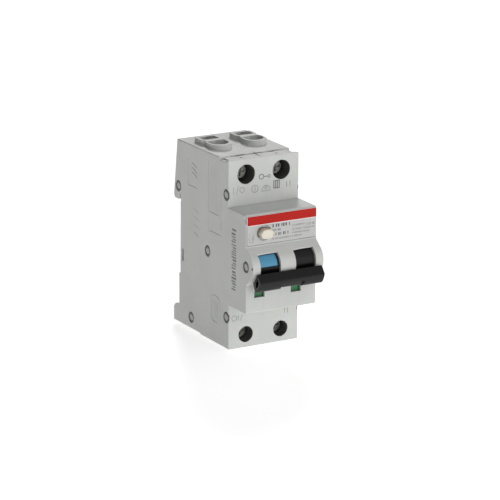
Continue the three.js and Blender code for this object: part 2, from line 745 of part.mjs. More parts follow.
// Splitter plates held in two side walls.
function arcChute() {
  const x = span(PHASE_X, 6.4);
  const z = [-26.6, -8.4];
  const [front, rear] = [-36.4, -15.5];
  const plates = 9;
  const thickness = 0.8;
  let body = join(
    box([x[0], x[0] + thickness], [front, rear], z),
    box([x[1] - thickness, x[1]], [front, rear], z),
  );
  const pitch = (rear - front - thickness) / (plates - 1);
  for (let i = 0; i < plates; i++) {
    const y = front + i * pitch;
    const plateX = [x[0] + thickness / 2, x[1] - thickness / 2];
    body = join(body, box(plateX, [y, y + thickness], [z[0] + 0.5, z[1] - 0.5]));
  }
  return body;
}

// Shaft across both modules, with one arm under the magnet's pin and one ahead of the relay's.
function tripShaft() {
  const { y, z } = TRIP_SHAFT;
  const phaseArm = polygon([
    [y, z - 1.6],
    [y + 9.4, z - 2],
    [y + 9.4, z - 0.9],
    [y, z + 1.6],
  ]);
  const hubR = 1.7;
  return join(
    rod("x", y, z, 1.1, -SIDE + 1.5, SIDE - 1.5, 16),
    rod("x", y, z, hubR, ...span(PHASE_X, 1.4), 16),
    prism("x", phaseArm, ...span(PHASE_X, 1)),
    rod("x", y, z, hubR, ...span(NEUTRAL_X, 1.4), 16),
    box(span(NEUTRAL_X, 1), span(y, 0.6), [z, z + 5.3]),
  );
}

function addOvercurrentRelease() {
  piece("magnet_coil", magnetCoil(), copper);
  piece("magnet_yoke", magnetYoke(), steel);
  piece("magnet_plunger", magnetPlunger(), steel);
  const { x, y } = COIL;
  piece("plunger_spring", spring("z", [x, y], 1.5, 0.25, 9.1, 11.2, 3), steel);
  piece("arc_chute", arcChute(), steel);
  const strip = box(span(PHASE_X, 2.3), [-10.3, -9.5], [-27.2, 9]);
  piece("bimetal_strip", strip, brass);
  piece("trip_shaft", tripShaft(), bobbin);
}

// ---- Residual-current part ----
const TOROID = { x: 8.4, z: 11, front: -22, rear: -15.2 };

function toroid() {
  const { x, z, front, rear } = TOROID;
  const body = rod("y", x, z, 7, front, rear, 28);
  const rims = [front - 1, front + 0.6, rear - 0.6, rear + 1];
  return cut(
    join(rod("y", x, z, 6.6, front, rear, 28), cut(body, rod("y", x, z, 8, rims[1], rims[2], 12))),
    rod("y", x, z, 3.4, rims[0], rims[3], 20),
  );
}

function circuitBoard() {
  const front = -9.8;
  const root = front + 0.1; // the parts on the board reach a little into it
  const capacitorR = 2.3;
  return join(
    box([2.2, 15.2], [front, front + 1.4], [-26, 22]),
    rod("y", 5.4, -16, capacitorR, -16, root, 18),
    rod("y", 12.4, -21, capacitorR, -15, root, 18),
    box([9.4, 14.4], [-12.6, root], [-15, -11]),
    box([3.6, 7.6], [-11.4, root], [15, 20]),
  );
}

function addResidualPart() {
  piece("toroid", toroid(), bobbin);
  piece("circuit_board", circuitBoard(), board);
  const pin = { z: 7, r: 1, front: -46, rear: -41.9 };
  const relay = cut(
    box([4.2, 13.4], [-54, -43.4], [4.8, 13.6]),
    rod("y", NEUTRAL_X, pin.z, pin.r + 0.2, pin.front - 0.4, -43, 16),
  );
  piece("trip_relay", relay, black);
  piece("relay_plunger", rod("y", NEUTRAL_X, pin.z, pin.r, pin.front, pin.rear, 16), steel);
  const { x, z, front, rear } = TOROID;
  const neutral = [
    [NEUTRAL_X, -23, 24.2],
    [9.2, -24, 19],
    [x + 1.6, front - 2.6, z + 3],
    [x + 1.6, front, z + 0.3],
    [x + 1.6, rear, z],
    [x + 1.6, rear + 2.4, z - 3],
    [x + 1.6, rear + 2.6, 0],
    [x + 1.9, rear + 2.4, -4.6],
  ];
  piece("neutral_wire", wire(neutral, 1, 22), copper);
  const phase = [
    [PHASE_X, -23, 24.2],
    [-5, -24.3, 18],
    [0, -24.6, 15.6],
    [4.6, front - 2.6, z + 2.8],
    [x - 1.6, front, z + 0.3],
    [x - 1.6, rear, z],
    [4.4, rear + 2.4, z],
    [0, rear + 2.6, z],
    [-4, rear + 2, z],
    [-6.4, -18.6, z],
    [-7, -25, z],
  ];
  piece("phase_wire", wire(phase, 1, 32), copper);
}

// ---- Test button ----
// The button's flat-sided oval, or the opening with a clearance about it.
function buttonOutline(clearance) {
  const radius = 2.1 + clearance;
  const straight = 0.9;
  const oval = new THREE.Shape();
  oval.absarc(BUTTON.x + straight, BUTTON.z, radius, -Math.PI / 2, Math.PI / 2, false);
  oval.absarc(BUTTON.x - straight, BUTTON.z, radius, Math.PI / 2, 1.5 * Math.PI, false);
  return oval;
}

function testButton() {
  return join(
    prism("y", buttonOutline(0), BUTTON_FRONT, NOSE_Y + 3.3, 8),
    rod("y", BUTTON.x, BUTTON.z, 1, NOSE_Y + 3, -46.6, 16),
  );
}

function addTestButton() {
  piece("test_button", testButton(), cream);
  const leaf = join(
    box(span(BUTTON.x, 1), [-46.2, -45.8], [2, 14.5]),
    box(span(BUTTON.x, 1.6), [-46.7, -45.3], [1, 2.6]),
  );
  piece("test_contact_leaf", leaf, brass);
}

// ---- Position flags ----
function addFlags() {
  const travel = 3.25;
  const lap = 0.5; // how far the flag reaches past its window
  Object.entries(FLAG_WINDOWS).forEach(([side, [low, high]]) => {
    const x = [low - 0.7, high - 0.2];
    const stemX = [x[0] + 1.6, x[0] + 2.8];
    const z = [FLAG_WINDOW_Z[0] - lap, FLAG_WINDOW_Z[1] + travel + 0.3];
    const body = join(
      box(x, [-57.7, -56.7], z),
      box(stemX, [-56.8, -55.8], [-12, -6.9]),
    );
    piece(side + "_position_flag", body, green);
  });
}

// ---- Rail clips ----
// A sliding catch: its nose holds the rail's lower lip, its foot has a slot for a screwdriver.
function railClip(x) {
  const foot = BOTTOM - 1.1;
  const side = polygon([
    [1.5, foot],
    [4.5, foot],
    [4.5, -20],
    [3.4, -15.7],
    [2.2, -15.7],
    [1.5, -17],
  ]);
  return cut(
    join(
      prism("x", side, ...span(x, CLIP.half)),
      box(span(x, CLIP.wing), CLIP.wingY, [-41, FOOT_TOP - 0.5]),
    ),
    box(span(x, 1.6), [0, 6], [-33, -23.4]),
    box(span(x, 2), [0, 6], [foot + 0.8, foot + 2]),
  );
}

function addRailClips() {
  POLES.forEach(({ side, x }) => {
    piece(side + "_rail_clip", railClip(x), plastic);
    const coil = spring("z", [x, 3], 1, 0.28, -31.2, -23.8, 5);
    piece(side + "_clip_spring", coil, steel);
  });
}

addHousing();
addRivets();
addToggle();
addContacts();
addTerminals();
addOvercurrentRelease();
addResidualPart();
addTestButton();
addFlags();
addRailClips();

export default group;
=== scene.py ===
"""The looks of a two-module residual current device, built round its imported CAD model."""

import json
import math
import random

import bmesh
import bpy
from mathutils import Matrix, Vector
from mathutils.bvhtree import BVHTree


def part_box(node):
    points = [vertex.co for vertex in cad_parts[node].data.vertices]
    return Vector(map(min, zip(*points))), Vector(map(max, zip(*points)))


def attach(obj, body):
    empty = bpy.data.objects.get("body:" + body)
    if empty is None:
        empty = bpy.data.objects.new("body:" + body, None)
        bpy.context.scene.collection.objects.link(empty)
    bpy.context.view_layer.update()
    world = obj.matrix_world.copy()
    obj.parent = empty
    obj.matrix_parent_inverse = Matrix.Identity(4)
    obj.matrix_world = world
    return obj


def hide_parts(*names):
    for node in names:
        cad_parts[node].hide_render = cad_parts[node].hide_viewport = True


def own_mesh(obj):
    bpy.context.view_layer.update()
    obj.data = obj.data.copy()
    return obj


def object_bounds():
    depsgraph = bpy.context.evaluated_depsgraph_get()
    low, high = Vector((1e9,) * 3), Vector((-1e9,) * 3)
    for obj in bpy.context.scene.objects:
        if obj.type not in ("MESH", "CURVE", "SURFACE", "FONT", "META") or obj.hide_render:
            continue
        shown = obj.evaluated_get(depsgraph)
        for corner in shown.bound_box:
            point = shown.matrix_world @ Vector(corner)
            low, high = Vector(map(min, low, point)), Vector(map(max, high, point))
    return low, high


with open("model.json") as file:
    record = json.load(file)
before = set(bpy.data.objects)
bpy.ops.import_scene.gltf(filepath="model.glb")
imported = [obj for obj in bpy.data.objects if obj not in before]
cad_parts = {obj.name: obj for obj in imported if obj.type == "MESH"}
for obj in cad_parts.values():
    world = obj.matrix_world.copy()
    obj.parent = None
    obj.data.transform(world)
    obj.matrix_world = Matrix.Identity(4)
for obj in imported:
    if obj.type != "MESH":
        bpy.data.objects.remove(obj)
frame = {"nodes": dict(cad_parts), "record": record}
CAD_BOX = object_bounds()

MM = 0.001
ROOT = "housing"  # the body that everything fixed rides on
SHELLS = ("left_cover", "left_base", "right_base", "right_cover")
RIVETS = (
    "hook_rivet",
    "upper_shoulder_rivet",
    "middle_rivet",
    "toggle_axle_rivet",
    "foot_rivet",
    "lower_shoulder_rivet",
)
SCREWS = [
    end + "_" + pole + "_terminal_screw" for end in ("upper", "lower") for pole in ("phase", "neutral")
]
LEFT_SIDE_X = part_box("left_cover")[0].x
RIGHT_SIDE_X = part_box("right_cover")[1].x
LABEL_LOW, LABEL_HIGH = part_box("label_plate")
SHOULDER_Y = -44 * MM
INK = 0.02 * MM  # how far a print stands off its surface
EMBOSS = 0.15 * MM  # how far the moulded lines stand off the side walls
FLAG_SPLIT_Z = -12.35 * MM  # where a flag's green half ends and its red half begins
FLAG_TOP_Z = -9.25 * MM
WELD = 0.002 * MM  # vertices closer than this are one
FLAT = math.radians(0.7)  # facets that meet at less than this are one face
SHARP = math.radians(28)  # faces that meet at more than this have an edge between them


# ---- Materials ----
class Graph:
    """A material's node tree, with short calls for the nodes that the finishes share."""

    def __init__(self, name):
        self.material = bpy.data.materials.new(name)
        self.material.use_nodes = True
        self.tree = self.material.node_tree
        self.tree.nodes.clear()
        output = self.tree.nodes.new("ShaderNodeOutputMaterial")
        self.surface = self.tree.nodes.new("ShaderNodeBsdfPrincipled")
        self.tree.links.new(self.surface.outputs[0], output.inputs["Surface"])
        self.place = self.tree.nodes.new("ShaderNodeTexCoord").outputs["Object"]

    def node(self, kind, inputs, **settings):
        """Makes a node and returns its outputs."""
        made = self.tree.nodes.new(kind)
        for key, value in settings.items():
            setattr(made, key, value)
        for key, value in inputs.items():
            self.put(made.inputs[key], value)
        return made.outputs

    def put(self, socket, value):
        """Links a socket to another one, or sets it to a plain value."""
        if isinstance(value, bpy.types.NodeSocket):
            self.tree.links.new(value, socket)
        else:
            socket.default_value = value

    def set_surface(self, **values):
        """Sets the surface's inputs; an underscore in a name stands for a space."""
        for key, value in values.items():
            self.put(self.surface.inputs[key.replace("_", " ")], value)

    def finish(self, **values):
        self.set_surface(**values)
        return self.material

    def stretched(self, scale):
        """The place, scaled along each axis, to draw noise out into streaks."""
        return self.node("ShaderNodeMapping", {"Vector": self.place, "Scale": scale})[0]

    def noise(self, size, detail=2.0, place=None, roughness=0.5):
        """Soft noise whose features are about size across, in metres."""
        inputs = {"Scale": 1 / size, "Detail": detail, "Roughness": roughness}
        inputs["Vector"] = self.place if place is None else place
        return self.node("ShaderNodeTexNoise", inputs)[0]

    def span(self, value, low, high, to_low=0.0, to_high=1.0):
        """Maps low...high to to_low...to_high, with no overshoot."""
        inputs = {"Value": value, "From Min": low, "From Max": high}
        inputs.update({"To Min": to_low, "To Max": to_high})
        return self.node("ShaderNodeMapRange", inputs)[0]

    def mix(self, share, first, second):
        """A colour between two, by a share that runs from 0 to 1."""
        made = self.tree.nodes.new("ShaderNodeMix")
        made.data_type = "RGBA"
        factor = next(s for s in made.inputs if s.name == "Factor" and s.type == "VALUE")
        colours = [s for s in made.inputs if s.type == "RGBA"]
        for socket, value in zip((factor, *colours), (share, first, second)):
            self.put(socket, value)
        return next(s for s in made.outputs if s.type == "RGBA")

    def maths(self, operation, first, second):
        made = self.tree.nodes.new("ShaderNodeMath")
        made.operation = operation
        self.put(made.inputs[0], first)
        self.put(made.inputs[1], second)
        return made.outputs[0]

    def bump(self, height, distance, strength=1.0, normal=None):
        inputs = {"Height": height, "Distance": distance, "Strength": strength}
        if normal is not None:
            inputs["Normal"] = normal
        return self.node("ShaderNodeBump", inputs)[0]

    def edges(self, radius):
        """1 close to an edge and 0 on flat stretches."""
        rounded = self.node("ShaderNodeBevel", {"Radius": radius}, samples=3)[0]
        true_normal = self.node("ShaderNodeNewGeometry", {})["Normal"]
        inputs = {0: rounded, 1: true_normal}
        alike = self.node("ShaderNodeVectorMath", inputs, operation="DOT_PRODUCT")["Value"]
        return self.span(alike, 0.8, 0.99, 1.0, 0.0)


class Sky(Graph):
    """The world's node tree: plain light whose strength depends on where it comes from."""

    def __init__(self, name):
        self.world = bpy.data.worlds.new(name)
        self.world.use_nodes = True
        self.tree = self.world.node_tree
        self.tree.nodes.clear()
        output = self.tree.nodes.new("ShaderNodeOutputWorld")
        self.surface = self.tree.nodes.new("ShaderNodeBackground")
        self.tree.links.new(self.surface.outputs[0], output.inputs["Surface"])
        self.place = self.tree.nodes.new("ShaderNodeTexCoord").outputs["Generated"]

    def towards(self, direction):
        """How far a ray points in a direction: 1 along it, -1 away from it."""
        inputs = {0: self.place, 1: Vector(direction).normalized()}
        return self.node("ShaderNodeVectorMath", inputs, operation="DOT_PRODUCT")["Value"]


def tone(colour, factor):
    """A colour made lighter or darker, with full alpha."""
    return (*(min(1.0, c * factor) for c in colour[:3]), 1.0)


def moulded(name, colour, roughness, grain=0.006 * MM, specular=0.5, wear=0.12):
    """Injection-moulded plastic: eroded grain, slow tone drift, faint rubs and brighter worn edges."""
    g = Graph(name)
    drift = g.span(g.noise(14 * MM, 3), 0.3, 0.7)
    body = g.mix(drift, tone(colour, 0.965), tone(colour, 1.03))
    speck = g.span(g.noise(0.35 * MM, 3), 0.35, 0.7)
    body = g.mix(g.maths("MULTIPLY", speck, 0.12), body, tone(colour, 0.82))
    rub_place = g.stretched((1.0, 0.35, 1.6))
    rub = g.span(g.noise(5 * MM, 5, rub_place, 0.7), 0.56, 0.75)
    edge = g.edges(0.35 * MM)
    body = g.mix(g.maths("MULTIPLY", edge, wear), body, tone(colour, 1.35))
    fine = g.noise(0.16 * MM, 2)
    coarse = g.noise(0.6 * MM, 2)
    height = g.maths("ADD", fine, g.maths("MULTIPLY", coarse, 1.5))
    rough = g.span(g.noise(2.5 * MM, 3), 0.25, 0.75, roughness - 0.05, roughness + 0.06)
    rough = g.maths("SUBTRACT", rough, g.maths("MULTIPLY", rub, 0.08))
    return g.finish(
        Base_Color=body,
        Roughness=rough,
        Normal=g.bump(height, grain),
        Specular_IOR_Level=specular,
    )


def print_ink(name, colour, roughness=0.6):
    """Pad-printed ink: slightly uneven cover over the plastic's grain."""
    g = Graph(name)
    cover = g.span(g.noise(0.5 * MM, 4), 0.3, 0.75)
    body = g.mix(cover, tone(colour, 0.88), tone(colour, 1.1))
    fine = g.noise(0.16 * MM, 2)
    return g.finish(
        Base_Color=body,
        Roughness=roughness,
        Normal=g.bump(fine, 0.004 * MM),
        Specular_IOR_Level=0.2,
    )


def label_film(name, colour):
    """A smooth printed label with a fine orange-peel lacquer."""
    g = Graph(name)
    drift = g.span(g.noise(9 * MM, 2), 0.3, 0.7)
    body = g.mix(drift, tone(colour, 0.97), tone(colour, 1.02))
    peel = g.noise(0.9 * MM, 2)
    return g.finish(
        Base_Color=body,
        Roughness=0.42,
        Normal=g.bump(peel, 0.01 * MM),
        Coat_Weight=0.25,
        Coat_Roughness=0.2,
    )


def metal(name, colour, roughness, grain=(1.0, 1.0, 12.0), tarnish=0.25):
    """Plated or bare metal: drawn or brushed grain, cloudy tarnish and bright worn edges."""
    g = Graph(name)
    cloud = g.span(g.noise(3 * MM, 4), 0.35, 0.7)
    body = g.mix(g.maths("MULTIPLY", cloud, tarnish), tone(colour, 1.0), tone(colour, 0.55))
    body = g.mix(g.maths("MULTIPLY", g.edges(0.2 * MM), 0.35), body, tone(colour, 1.3))
    lines = g.noise(0.5 * MM, 4, g.stretched(grain))
    rough = g.span(cloud, 0.0, 1.0, roughness, roughness + 0.18)
    return g.finish(
        Base_Color=body,
        Metallic=1.0,
        Roughness=rough,
        Normal=g.bump(lines, 0.008 * MM),
    )


def laminate(name, colour):
    """A lacquered circuit board: woven glass under solder mask."""
    g = Graph(name)
    weave = g.node("ShaderNodeTexChecker", {"Vector": g.place, "Scale": 1 / (0.8 * MM)})[1]
    body = g.mix(g.maths("MULTIPLY", weave, 0.25), tone(colour, 1.0), tone(colour, 1.5))
    rough = g.span(g.noise(2 * MM, 2), 0.3, 0.7, 0.3, 0.45)
    return g.finish(Base_Color=body, Roughness=rough, Coat_Weight=0.4, Normal=g.bump(weave, 0.01 * MM))


HOUSING_COLOUR = (0.56, 0.57, 0.55)
BLACK_COLOUR = (0.004, 0.004, 0.0043)
LOOKS = {
    "housing_plastic": moulded("housing_plastic", HOUSING_COLOUR, 0.5),
    # near-black painted shade for the walls of the screw tunnels and the gauge hole
    "hole_wall_painted_shade": moulded("hole_wall_painted_shade", (0.07, 0.07, 0.068), 0.6),
    "rail_clip_plastic": moulded("rail_clip_plastic", HOUSING_COLOUR, 0.45),
    "printed_label": label_film("printed_label", (0.5, 0.505, 0.495)),
    # the rivets' steel is made very dark: its own dark tone plus painted shade for the rolled rims
    "rivet_steel": metal("rivet_steel", (0.16, 0.16, 0.16), 0.42, (1, 1, 1)),
    "rivet_plug": moulded("rivet_plug", (0.4, 0.405, 0.395), 0.42),
    "screw_steel": metal("screw_steel", (0.34, 0.34, 0.32), 0.38),
    "black_plastic": moulded("black_plastic", BLACK_COLOUR, 0.34, 0.003 * MM, specular=0.24, wear=0.3),
    "blue_plastic": moulded("blue_plastic", (0.06, 0.27, 0.44), 0.4, 0.003 * MM),
    "flag_plastic": moulded("flag_plastic", (0.04, 0.2, 0.075), 0.45, 0.004 * MM),
    "button_plastic": moulded("button_plastic", (0.74, 0.69, 0.58), 0.4, 0.003 * MM),
    "spring_steel": metal("spring_steel", (0.52, 0.52, 0.54), 0.25, (1, 1, 1), 0.15),
    "terminal_steel": metal("terminal_steel", (0.56, 0.55, 0.52), 0.34),
    "magnet_steel": metal("magnet_steel", (0.4, 0.4, 0.42), 0.42),
    "copper": metal("copper", (0.78, 0.39, 0.24), 0.3, (1, 1, 4), 0.4),
    "wire_insulation": moulded("wire_insulation", (0.2, 0.09, 0.04), 0.4, 0.003 * MM),
    "bimetal": metal("bimetal", (0.68, 0.55, 0.3), 0.33),
    "brown_plastic": moulded("brown_plastic", (0.16, 0.055, 0.025), 0.4),
    "circuit_board": laminate("circuit_board", (0.015, 0.13, 0.04)),
    "red_ink": print_ink("red_ink", (0.46, 0.012, 0.007)),
    "dark_ink": print_ink("dark_ink", (0.15, 0.15, 0.15)),
    "grey_ink": print_ink("grey_ink", (0.3, 0.305, 0.3)),
    "strip_ink": print_ink("strip_ink", (0.22, 0.225, 0.22)),
    "pale_ink": print_ink("pale_ink", (0.36, 0.365, 0.355)),
    "white_ink": print_ink("white_ink", (0.8, 0.78, 0.77)),
    "red_plastic": moulded("red_plastic", (0.5, 0.02, 0.015), 0.45, 0.004 * MM),
}


# ---- Making pieces ----
def add_piece(name, bm, look, body=ROOT, smooth=True):
    """Turns a bmesh into a piece that rides on a body."""
    bmesh.ops.recalc_face_normals(bm, faces=bm.faces)
    mesh = bpy.data.meshes.new(name)
    bm.to_mesh(mesh)
    bm.free()
    piece = bpy.data.objects.new(name, mesh)
    bpy.context.scene.collection.objects.link(piece)
    mesh.materials.append(LOOKS[look])
    if smooth:
        soften(piece)
    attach(piece, body)
    return piece


def soften(piece):
    """Smooth shading that keeps flat faces flat."""
    for face in piece.data.polygons:
        face.use_smooth = True
    weighted = piece.modifiers.new("even_normals", "WEIGHTED_NORMAL")
    weighted.keep_sharp = True


def merged(node, dissolve=FLAT):
    """A bmesh of a CAD node whose facets are merged into whole faces."""
    bm = bmesh.new()
    bm.from_mesh(frame["nodes"][node].data)
    bmesh.ops.remove_doubles(bm, verts=bm.verts, dist=WELD)
    bmesh.ops.dissolve_limit(bm, angle_limit=dissolve, verts=bm.verts, edges=bm.edges)
    return bm


def rounded_copy(node, look, weight_of, width, segments=2):
    """A copy of a CAD node with its edges rounded, each by its weight times width."""
    bm = merged(node)
    layer = bm.edges.layers.float.new("bevel_weight_edge")
    for edge in bm.edges:
        if len(edge.link_faces) != 2 or edge.calc_face_angle(0) < SHARP:
            continue
        edge[layer] = weight_of(edge)
        edge.smooth = edge[layer] > 0
    piece = add_piece(node + "_finish", bm, look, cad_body(node), smooth=False)
    bevel = piece.modifiers.new("rounded_edges", "BEVEL")
    bevel.limit_method = "WEIGHT"
    bevel.width = width
    bevel.segments = segments
    bevel.use_clamp_overlap = False
    soften(piece)
    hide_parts(node)
    return piece


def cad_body(node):
    """The body that a CAD node belongs to."""
    bodies = frame["record"]["behaviour"]["bodies"]
    return next(body for body, members in bodies.items() if node in members)


def finish_node(node, look, width, segments=2):
    """Gives a CAD node its look, with its edges rounded by modifiers."""
    piece = frame["nodes"][node]
    piece.data.materials.clear()
    piece.data.materials.append(LOOKS[look])
    weld = piece.modifiers.new("weld", "WELD")
    weld.merge_threshold = WELD
    plane = piece.modifiers.new("whole_faces", "DECIMATE")
    plane.decimate_type = "DISSOLVE"
    plane.angle_limit = FLAT
    if width:
        bevel = piece.modifiers.new("rounded_edges", "BEVEL")
        bevel.width = width
        bevel.segments = segments
        bevel.limit_method = "ANGLE"
        bevel.angle_limit = SHARP
        bevel.use_clamp_overlap = False
    soften(piece)


# ---- Housing shells ----
SEAMS = [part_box(name)[1].x for name in SHELLS[:-1]]
OUTER_ROUND = 0.45 * MM  # rounding of the edges round the two side walls
SEAM_SHARE = 0.12  # the share of it for edges at the seams
THIN_SHARE = 0.18  # for edges in thin places and very short ones
RIVET_SHARE = 0.25  # for edges on a side wall close to a rivet
PLAIN_SHARE = 0.45  # for all others that show
THIN_PLACES = (  # boxes in millimetres where the walls are thin, with the share of the edges in them
    ((-18, -60, 7.4), (18, -53, 21.6), THIN_SHARE),  # the label's recess and the button's opening
    ((-18, -28, 42.6), (18, -5, 45), THIN_SHARE),  # the rims of the collars
    ((-18, -2, -22), (18, 1.5, -12), 0.0),  # the tops of the rail clips' channels
    ((-18, -2, -45), (18, 7, -22), THIN_SHARE),  # the rest of the channels
)
GAUGE_HOLE = (-64.8, -0.5)  # the middle of a small hole in the cheek, in millimetres
GAUGE_HOLE_REACH = 0.7 * MM
TUNNEL_REACH = 4.6 * MM


def shells_tree():
    """All four shells as one surface, to tell outer edges from those in the cavities."""
    vertices, faces = [], []
    for name in SHELLS:
        mesh = frame["nodes"][name].data
        start = len(vertices)
        vertices.extend(v.co.copy() for v in mesh.vertices)
        faces.extend([start + i for i in f.vertices] for f in mesh.polygons)
    return BVHTree.FromPolygons(vertices, faces)


def thin_share(place):
    """The share of the rounding in a thin place, or None anywhere else."""
    for low, high, share in THIN_PLACES:
        if all(a * MM < c < b * MM for a, c, b in zip(low, place, high)):
            return share
    return None


def lies_at(edge, planes):
    """True if both ends of an edge lie in one of the planes across X."""
    close = 0.02 * MM
    ends = [vertex.co.x for vertex in edge.verts]
    return any(all(abs(x - plane) < close for x in ends) for plane in planes)


def shell_weight(tree):
    """Makes the function that tells how much of the outer rounding an edge gets."""
    lift = 0.05 * MM
    far = 50 * MM
    short = 0.5 * MM
    near_rivet = 3 * MM
    rivets = [(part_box(name)[0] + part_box(name)[1]) / 2 for name in RIVETS]

    def faces_another_wall(start, direction):
        return tree.ray_cast(start + direction * lift, direction, far)[0] is not None

    def seam_weight(middle, out):
        across = Vector((0, out.y, out.z))
        if across.length < 0.1:
            return 0
        start = middle + out * 0.03 * MM
        return 0 if faces_another_wall(start, across.normalized()) else SEAM_SHARE

    def weight(edge):
        a, b = edge.verts[0].co, edge.verts[1].co
        middle = (a + b) / 2
        out = (edge.link_faces[0].normal + edge.link_faces[1].normal).normalized()
        if lies_at(edge, SEAMS):
            return seam_weight(middle, out)
        if faces_another_wall(middle, out):
            return 0
        if thin_share(middle) is not None:
            return thin_share(middle)
        if (a - b).length < short:
            return THIN_SHARE
        if lies_at(edge, (LEFT_SIDE_X, RIGHT_SIDE_X)):
            near = min(math.hypot(middle.y - r.y, middle.z - r.z) for r in rivets)
            return RIVET_SHARE if near < near_rivet else 1.0
        return PLAIN_SHARE

    return weight


def finish_shells():
    """Rounds each shell's outer edges and paints a near-black shade on the walls of its deep holes."""
    weight = shell_weight(shells_tree())
    screws = [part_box(name) for name in SCREWS]
    for name in SHELLS:
        shell = rounded_copy(name, "housing_plastic", weight, OUTER_ROUND, 3)
        # the walls of the deep holes get the near-black painted shade
        shell.data.materials.append(LOOKS["hole_wall_painted_shade"])
        for face in shell.data.polygons:
            face.material_index = int(is_in_hole(face.center, screws))


def is_in_hole(place, screws):
    """True on the walls of the screws' tunnels and the gauge hole, which get a near-black painted shade.
    """
    from_gauge = math.hypot(place.y - GAUGE_HOLE[0] * MM, place.z - GAUGE_HOLE[1] * MM)
    if from_gauge < GAUGE_HOLE_REACH and place.x > LEFT_SIDE_X + 0.15 * MM:
        return True
    for low, high in screws:
        across = math.hypot(place.x - (low.x + high.x) / 2, place.z - (low.z + high.z) / 2)
        if across < TUNNEL_REACH and SHOULDER_Y + 0.4 * MM < place.y < low.y + 2 * MM:
            return True
    return False


# ---- Flat details ----
def side_plane(x, outward):
    """Maps (y, z, height) to a point on a side face."""
    return lambda u, v, height: Vector((x + outward * height, u, v))


def front_plane(y):
    """Maps (x, z, height) to a point on a face that looks forward."""
    return lambda u, v, height: Vector((u, y - height, v))


def stroke(bm, plane, points, width, height, closed=False):
    """A raised line along points in a plane, with mitred corners; all in metres."""
    count = len(points)
    rows = []
    for i, point in enumerate(points):
        here = Vector(point)
        steps = []
        if i or closed:
            steps.append((here - Vector(points[i - 1])).normalized())
        if i < count - 1 or closed:
            steps.append((Vector(points[(i + 1) % count]) - here).normalized())
        sides = [Vector((-step.y, step.x)) for step in steps]
        mitre = sum(sides, Vector((0, 0))).normalized()
        reach = width / 2 / max(0.3, mitre.dot(sides[0]))
        row = []
        for side, level in ((1, -height), (1, height), (-1, height), (-1, -height)):
            place = here + mitre * reach * side
            row.append(bm.verts.new(plane(place.x, place.y, level)))
        rows.append(row)
    pairs = list(zip(rows, rows[1:]))
    if closed:
        pairs.append((rows[-1], rows[0]))
    for first, second in pairs:
        for i in range(4):
            j = (i + 1) % 4
            bm.faces.new((first[i], first[j], second[j], second[i]))
    if not closed:
        bm.faces.new(rows[0])
        bm.faces.new(rows[-1])


def block(bm, plane, u, v, height):
    """A thin raised rectangle between the given limits."""
    middle = (v[0] + v[1]) / 2
    stroke(bm, plane, [(u[0], middle), (u[1], middle)], v[1] - v[0], height)


def scaled(points):
    """Points in millimetres, turned into metres."""
    return [(a * MM, b * MM) for a, b in points]


def arc(centre, radius, start, end, steps=16):
    """Points along an arc, from one angle to another in degrees."""
    angles = [math.radians(start + (end - start) * i / steps) for i in range(steps + 1)]
    return [(centre[0] + radius * math.cos(a), centre[1] + radius * math.sin(a)) for a in angles]


def ring(centre, radius):
    """A closed ring in metres, from sizes in millimetres."""
    return scaled(arc(centre, radius, 0, 345, 20))


def rounded_frame(low, high, radius, steps=5):
    """A closed rounded rectangle, in millimetres."""
    corners = (
        (high[0] - radius, high[1] - radius, 0),
        (low[0] + radius, high[1] - radius, 90),
        (low[0] + radius, low[1] + radius, 180),
        (high[0] - radius, low[1] + radius, 270),
    )
    return [p for a, b, turn in corners for p in arc((a, b), radius, turn, turn + 90, steps)]


def add_side_moulding(name, x, outward):
    """Plain raised lines and frames, as the mould leaves on the side wall."""
    plane = side_plane(x, outward)
    bm = bmesh.new()
    thin = 0.42 * MM
    lines = (
        ((-7.8, 23.7), (-7.8, 36)),
        ((-26.1, 6.6), (-26.1, 39)),
        ((-37.4, 10.2), (-37.4, 28.2)),
        ((-27, 15.9), (-35.4, 15.9)),
        ((-27, 7.3), (-36.4, 7.3)),
        ((-7.8, 23.7), (-15.4, 23.7)),
    )
    for line in lines:
        stroke(bm, plane, scaled(line), thin, EMBOSS)
    frame_points = scaled(rounded_frame((-36, -33), (-28.7, -21), 2.6))
    stroke(bm, plane, frame_points, thin, EMBOSS, closed=True)
    for y in (-34, -32.3, -30.6):
        stroke(bm, plane, scaled([(y, -30.5), (y, -23.5)]), 0.55 * MM, EMBOSS)
    for z in (34.5, 32.3, 30.1):
        stroke(bm, plane, scaled([(-11.2, z), (-15.6, z - 1.6)]), thin, EMBOSS)
    for row in range(4):
        z = 14 - 3.6 * row
        stroke(bm, plane, scaled([(-13, z), (-16.8, z - 1.2)]), 0.5 * MM, EMBOSS * 0.6)
    for y in (-28.4, -30.2, -32, -33.8):
        stroke(bm, plane, scaled([(y, 17.8), (y, 36.5)]), 0.5 * MM, EMBOSS * 0.5)
    add_piece(name, bm, "housing_plastic")


def add_date_strip():
    """Uneven ink-jet strokes in a column, as a made-up tracking mark."""
    plane = side_plane(LEFT_SIDE_X, -1)
    chance = random.Random(5)
    bm = bmesh.new()
    z = 13.5
    while z > -14.6:
        tall = chance.choice((0.5, 0.65, 0.95))
        left = -50.8 + chance.choice((0, 0, 0.5))
        right = -46.8 - chance.choice((0, 0, 0.5, 1.0))
        block(bm, plane, (left * MM, right * MM), ((z - tall) * MM, z * MM), INK)
        z -= tall + chance.choice((0.5, 0.65, 0.9))
    add_piece("date_strip", bm, "strip_ink")


